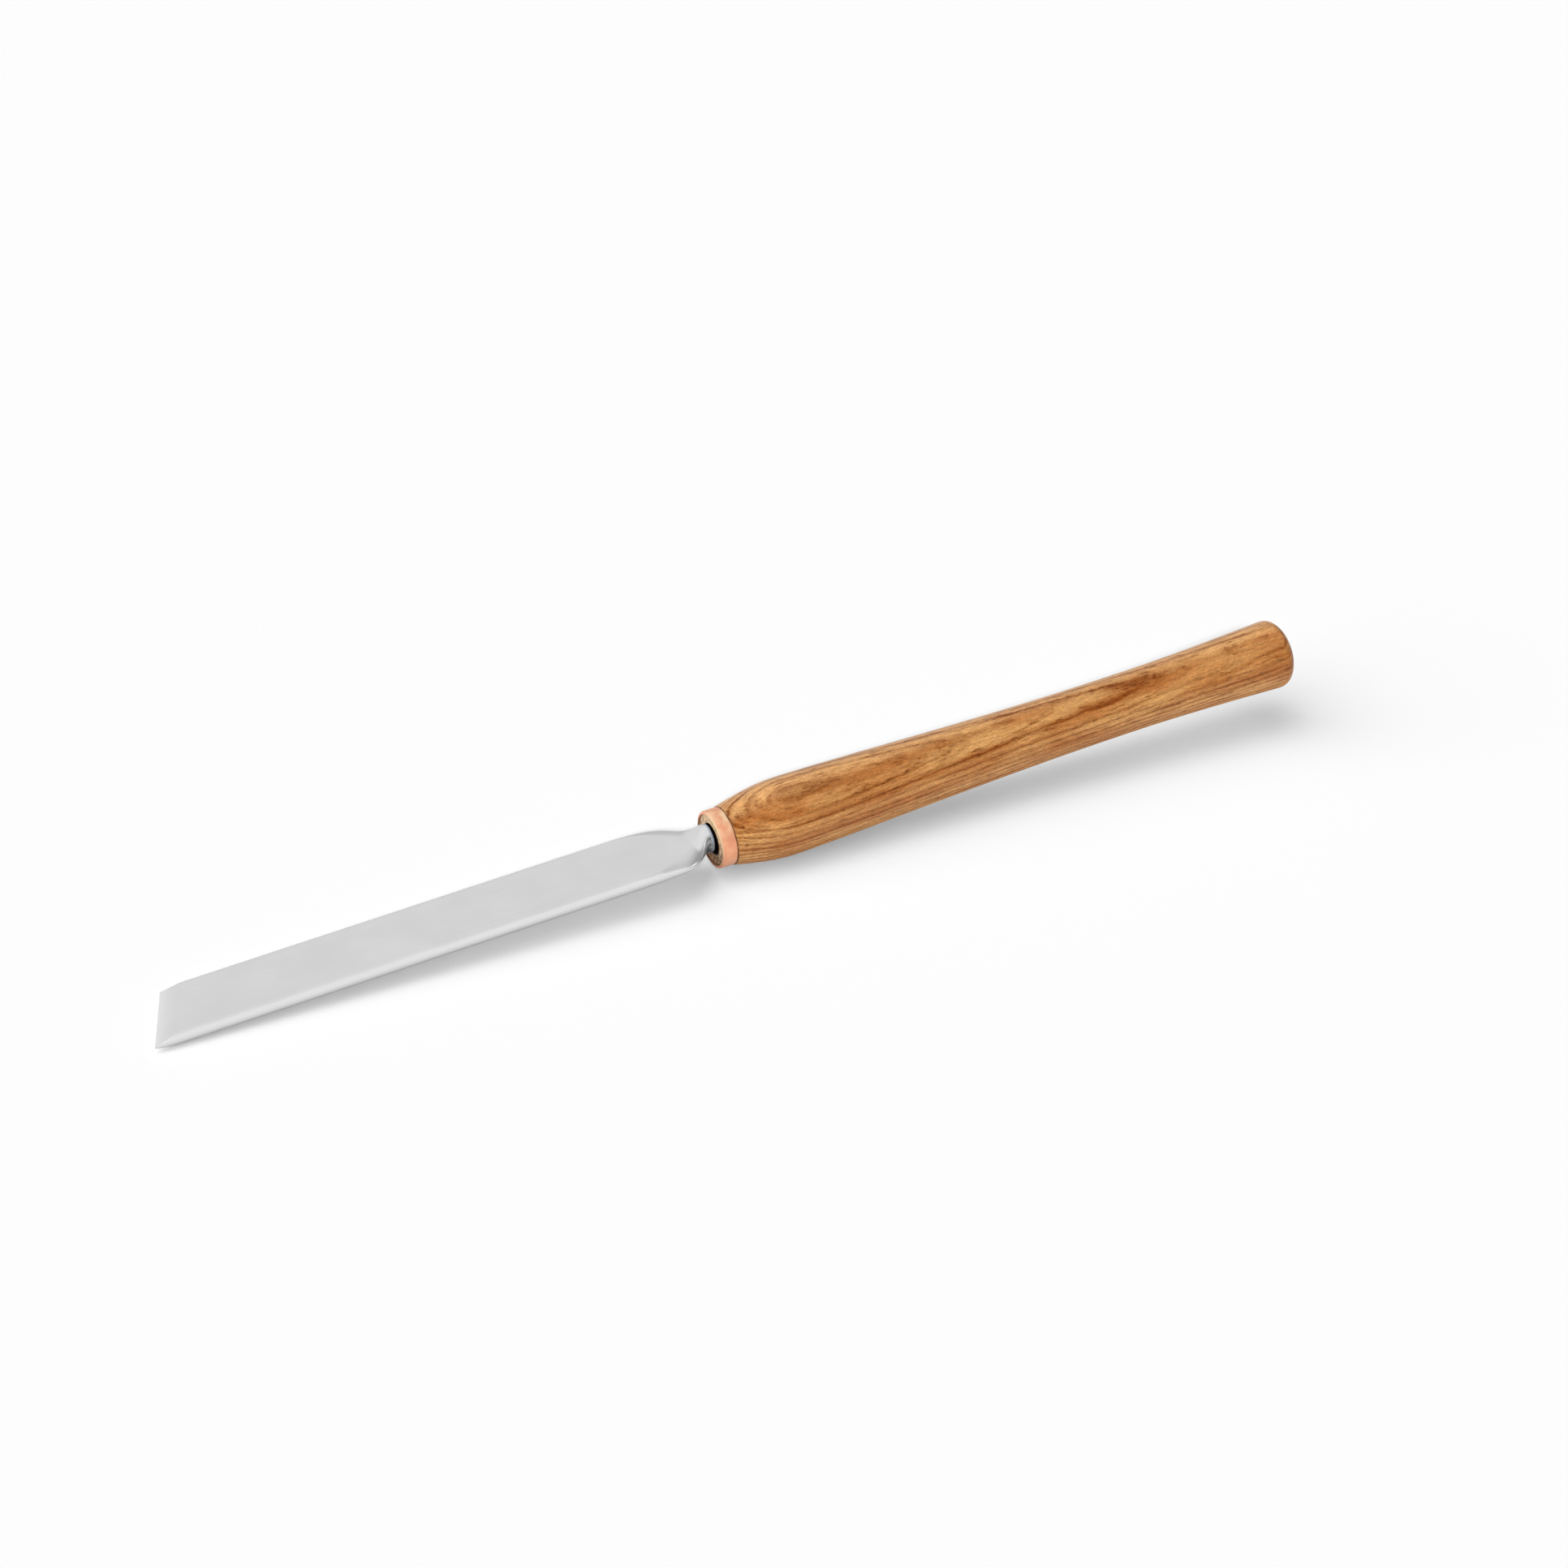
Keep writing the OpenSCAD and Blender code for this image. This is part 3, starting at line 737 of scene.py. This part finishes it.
    # Dirt in the joint behind the ferrule, broken by the same spots
    joint_x = FERRULE_HIGH.x
    dirt = add(tree, "ShaderNodeMath", {0: spots, 1: -0.15 * MM, 2: bare["X"]}, operation="MULTIPLY_ADD")
    dirt = add(tree, "ShaderNodeMapRange", {0: dirt, 1: joint_x, 2: joint_x + 0.15 * MM, 3: 1.0, 4: 0.0})
    dirt = add(tree, "ShaderNodeMath", {0: dirt, 1: face}, operation="SUBTRACT", use_clamp=True)
    tone = add(tree, "ShaderNodeMix", {0: dirt, 6: tone, 7: finish.oak_stain}, out=2, data_type="RGBA")
    # Scorched bore, as deep as the socket, and painted shade that blackens the mouth
    bore = add(tree, "ShaderNodeVectorMath", {0: place, 1: (0.0, 0.0, size.mouth_lift)}, operation="SUBTRACT")
    bore = add(tree, "ShaderNodeVectorMath", {0: bore, 1: (0.0, 1.0, 1.0)}, operation="MULTIPLY")
    bore = add(tree, "ShaderNodeVectorMath", {0: bore}, out="Value", operation="LENGTH")
    wall = size.mouth / 2
    scorch_and_shade = add(tree, "ShaderNodeMapRange", {0: bore, 1: wall + 0.1 * MM, 2: wall + 0.3 * MM, 3: 1.0, 4: 0.0})
    socket_x = BLADE_HIGH.x + size.tang_room
    deep = add(tree, "ShaderNodeMapRange", {0: bare["X"], 1: socket_x, 2: socket_x + 5 * MM, 3: 1.0, 4: 0.0})
    scorch_and_shade = add(tree, "ShaderNodeMath", {0: scorch_and_shade, 1: deep}, operation="MULTIPLY")
    tone = add(tree, "ShaderNodeMix", {0: scorch_and_shade, 6: tone, 7: finish.oak_scorch_and_shade}, out=2, data_type="RGBA")

    # The oil is worn off below, where the tool is laid down
    worn = add(tree, "ShaderNodeMapRange", {0: bare["Z"], 1: -3 * MM, 2: -9 * MM, 3: 0.3, 4: 0.8})
    rough = add(tree, "ShaderNodeMath", {0: pore, 1: 0.3, 2: worn}, operation="MULTIPLY_ADD", use_clamp=True)
    relief = add(tree, "ShaderNodeMath", {0: pore, 1: -1.0, 2: fibre}, operation="MULTIPLY_ADD")
    bump = add(tree, "ShaderNodeBump", {"Strength": 0.2, "Distance": 0.08 * MM, "Height": relief})
    shader = add(tree, "ShaderNodeBsdfPrincipled", {
        "Base Color": greyed(tree, tone), "Roughness": rough, "Normal": bump, "IOR": 1.33,
    })
    add(tree, "ShaderNodeOutputMaterial", {"Surface": shader})
    return material


def table_paint(finish):
    """Matt white table top: no gloss, so that it shows only the soft shadow. It is clear from below."""
    material, tree = new_material("Matt white table top")
    shader = add(tree, "ShaderNodeBsdfDiffuse", {"Color": finish.table, "Roughness": 0.0})
    clear = add(tree, "ShaderNodeBsdfTransparent")
    under = add(tree, "ShaderNodeNewGeometry", out="Backfacing")
    shader = add(tree, "ShaderNodeMixShader", {0: under, 1: shader, 2: clear})
    add(tree, "ShaderNodeOutputMaterial", {"Surface": shader})
    return material


class SKEW_CHISEL_OT_add_blade(bpy.types.Operator):
    """Builds the steel blade with its neck and tang"""

    bl_idname = "skew_chisel.add_blade"
    bl_label = "Blade"

    def execute(self, context):
        scene = context.scene
        piece = skin("chisel_blade", blade_rings(scene.skew_blade))
        even = piece.modifiers.new("Even flats", "WEIGHTED_NORMAL")
        even.keep_sharp = True
        fit_to_frame(piece, "blade", ground_steel(scene.skew_finish, scene.skew_blade))
        return {"FINISHED"}


class SKEW_CHISEL_OT_add_ferrule(bpy.types.Operator):
    """Builds the copper ring"""

    bl_idname = "skew_chisel.add_ferrule"
    bl_label = "Ferrule"

    def execute(self, context):
        scene = context.scene
        rings = [turned_ring(x, radius) for x, radius in ferrule_profile(scene.skew_ferrule)]
        piece = skin("copper_ferrule", rings, closed=True)
        fit_to_frame(piece, "ferrule", wiped_copper(scene.skew_finish, scene.skew_ferrule))
        return {"FINISHED"}


class SKEW_CHISEL_OT_add_handle(bpy.types.Operator):
    """Builds the turned oak handle with its mouth and socket"""

    bl_idname = "skew_chisel.add_handle"
    bl_label = "Handle"

    def execute(self, context):
        scene = context.scene
        piece = skin("oak_handle", handle_rings(scene.skew_handle, scene.skew_blade, scene.skew_ferrule))
        fit_to_frame(piece, "handle", oiled_oak(scene.skew_finish, scene.skew_handle))
        return {"FINISHED"}


class SKEW_CHISEL_OT_add_stage(bpy.types.Operator):
    """Sets up the table, the light and the camera"""

    bl_idname = "skew_chisel.add_stage"
    bl_label = "Table, light and camera"

    def execute(self, context):
        scene = context.scene
        stage = scene.skew_stage
        lay_table(scene, stage)
        light_room(scene, stage)
        set_camera(scene, stage)
        return {"FINISHED"}


def lay_table(scene, stage):
    """Table top that the tool rests on, at the height of the tool's lowest point."""
    tilt = Euler((stage.table_roll, stage.table_pitch, 0.0)).to_matrix()
    up = tilt @ Vector((0, 0, 1))
    height = min(up @ vertex.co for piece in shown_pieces() for vertex in piece.data.vertices)
    shape = bmesh.new()
    bmesh.ops.create_grid(shape, x_segments=1, y_segments=1, size=stage.table_side / 2)
    mesh = bpy.data.meshes.new("table_top")
    shape.to_mesh(mesh)
    shape.free()
    mesh.materials.append(table_paint(scene.skew_finish))
    table = bpy.data.objects.new("table_top", mesh)
    table.matrix_world = Matrix.Translation(up * height) @ tilt.to_4x4()
    scene.collection.objects.link(table)
    table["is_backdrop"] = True


# What the metal shows of the room: sines of the heights between which the walls turn into the ceiling
CEILING_EDGES = (0.55, 0.8)
# Directions of the foot of the far wall, of the dim end beyond the butt and of the window there, and the cosines
# from them between which they fade in
FAR_WALL = (0.36, 0.92, 0.12)
FAR_EDGES = (0.93, 0.985)
DIM_END = (0.93, 0.1, 0.35)
DIM_EDGES = (0.59, 0.88)
WINDOW = (0.758, -0.197, 0.62)
WINDOW_EDGES = (0.975, 0.992)


def light_room(scene, stage):
    """White room, which the camera sees as plain white, and three lamps. Metal shows it darker low on the far wall
    and beyond the butt, and lighter at the ceiling and in one window."""
    world = bpy.data.worlds.new("White room")
    scene.world = world
    world.use_nodes = True
    tree = world.node_tree
    tree.nodes.clear()
    white = (1.0, 1.0, 1.0, 1.0)
    path = add(tree, "ShaderNodeLightPath").node.outputs
    seen = add(tree, "ShaderNodeMath", {0: path["Is Camera Ray"], 1: path["Is Glossy Ray"]}, use_clamp=True)
    seen = add(tree, "ShaderNodeMath", {0: seen, 1: path["Is Transmission Ray"]}, use_clamp=True)
    way = add(tree, "ShaderNodeTexCoord", out="Generated")
    height = add(tree, "ShaderNodeVectorMath", {0: way, 1: (0.0, 0.0, 1.0)}, out="Value", operation="DOT_PRODUCT")
    shade = add(tree, "ShaderNodeMapRange", {
        0: height, 1: CEILING_EDGES[0], 2: CEILING_EDGES[1], 3: 1.0, 4: stage.high,
    }, interpolation_type="SMOOTHSTEP")
    for direction, edges, strength in (
        (FAR_WALL, FAR_EDGES, stage.low), (DIM_END, DIM_EDGES, stage.dim), (WINDOW, WINDOW_EDGES, stage.glow),
    ):
        near = add(tree, "ShaderNodeVectorMath", {0: way, 1: direction}, out="Value", operation="DOT_PRODUCT")
        near = add(tree, "ShaderNodeMapRange", {
            0: near, 1: edges[0], 2: edges[1], 3: 1.0, 4: strength,
        }, interpolation_type="SMOOTHSTEP")
        shade = add(tree, "ShaderNodeMath", {0: shade, 1: near}, operation="MULTIPLY")
    shade = add(tree, "ShaderNodeMix", {0: path["Is Glossy Ray"], 2: 1.0, 3: shade})
    lit = add(tree, "ShaderNodeBackground", {"Color": white, "Strength": stage.sky})
    room = add(tree, "ShaderNodeBackground", {"Color": white, "Strength": shade})
    room = add(tree, "ShaderNodeMixShader", {0: seen, 1: lit, 2: room})
    add(tree, "ShaderNodeOutputWorld", {"Surface": room})
    hang_lamp(scene, "Key lamp", stage.key, stage.key_turn, stage.key_height, stage.key_spread)
    hang_lamp(scene, "Fill lamp", stage.fill, stage.fill_turn, stage.fill_height, stage.fill_spread)
    hang_lamp(scene, "Top lamp", stage.top, stage.top_turn, stage.top_height, stage.top_spread)


def hang_lamp(scene, name, light, turn, height, spread):
    """Far lamp that gives the table this much light, and that the metal doesn't show."""
    lamp = bpy.data.lights.new(name, "SUN")
    lamp.angle = spread
    lamp.energy = light * math.pi / math.sin(height)
    holder = bpy.data.objects.new(name, lamp)
    level = math.cos(height)
    back = Vector((level * math.cos(turn), level * math.sin(turn), math.sin(height)))
    holder.rotation_mode = "QUATERNION"
    holder.rotation_quaternion = back.to_track_quat("Z", "Y")
    holder.visible_glossy = False
    scene.collection.objects.link(holder)


def set_camera(scene, stage):
    """Camera at the photograph's place."""
    level = math.cos(stage.elevation)
    back = Vector((
        math.sin(stage.azimuth) * level, -math.cos(stage.azimuth) * level, math.sin(stage.elevation)
    ))
    right = Vector((math.cos(stage.azimuth), math.sin(stage.azimuth), 0.0))
    turn = Matrix.Rotation(stage.roll, 3, back)
    right = turn @ right
    up = back.cross(right)
    place = Vector((FRONT_X, 0, 0)) + right * stage.slide + up * stage.rise + back * stage.distance
    lens = bpy.data.cameras.new("Camera")
    lens.sensor_fit = "HORIZONTAL"
    lens.sensor_width = FILM_WIDTH
    lens.lens = stage.focal
    lens.clip_start, lens.clip_end = 0.05, 100.0
    camera = bpy.data.objects.new("Camera", lens)
    camera.matrix_world = Matrix.Translation(place) @ Matrix((right, up, back)).transposed().to_4x4()
    scene.collection.objects.link(camera)
    scene.camera = camera
    scene.view_settings.view_transform = "Standard"


class VIEW3D_PT_skew_chisel(bpy.types.Panel):
    """Sizes and colours of the tool, and the steps that build it"""

    bl_label = "Skew chisel"
    bl_idname = "VIEW3D_PT_skew_chisel"
    bl_space_type = "VIEW_3D"
    bl_region_type = "UI"
    bl_category = "Skew chisel"

    def draw(self, context):
        for name, group, step in GROUPS:
            box = self.layout.box()
            settings = getattr(context.scene, name)
            for setting in group.__annotations__:
                box.prop(settings, setting)
            if step:
                box.operator(step)


# Each group's name in the scene, its class and the step that it is for
GROUPS = (
    ("skew_blade", BladeSizes, "skew_chisel.add_blade"),
    ("skew_ferrule", FerruleSizes, "skew_chisel.add_ferrule"),
    ("skew_handle", HandleSizes, "skew_chisel.add_handle"),
    ("skew_finish", Finishes, None),
    ("skew_stage", StageSettings, "skew_chisel.add_stage"),
)
CLASSES = (
    *(group for name, group, step in GROUPS),
    SKEW_CHISEL_OT_add_blade,
    SKEW_CHISEL_OT_add_ferrule,
    SKEW_CHISEL_OT_add_handle,
    SKEW_CHISEL_OT_add_stage,
    VIEW3D_PT_skew_chisel,
)


def register():
    """Makes the groups, the steps and the panel known."""
    for cls in CLASSES:
        bpy.utils.register_class(cls)
    for name, group, step in GROUPS:
        setattr(bpy.types.Scene, name, PointerProperty(type=group))


def unregister():
    """Takes the groups, the steps and the panel away again."""
    for name, group, step in GROUPS:
        delattr(bpy.types.Scene, name)
    for cls in reversed(CLASSES):
        bpy.utils.unregister_class(cls)


def main():
    """Builds the tool and its stage."""
    register()
    bpy.ops.skew_chisel.add_blade()
    bpy.ops.skew_chisel.add_ferrule()
    bpy.ops.skew_chisel.add_handle()
    bpy.ops.skew_chisel.add_stage()


if __name__ == "__main__":
    main()
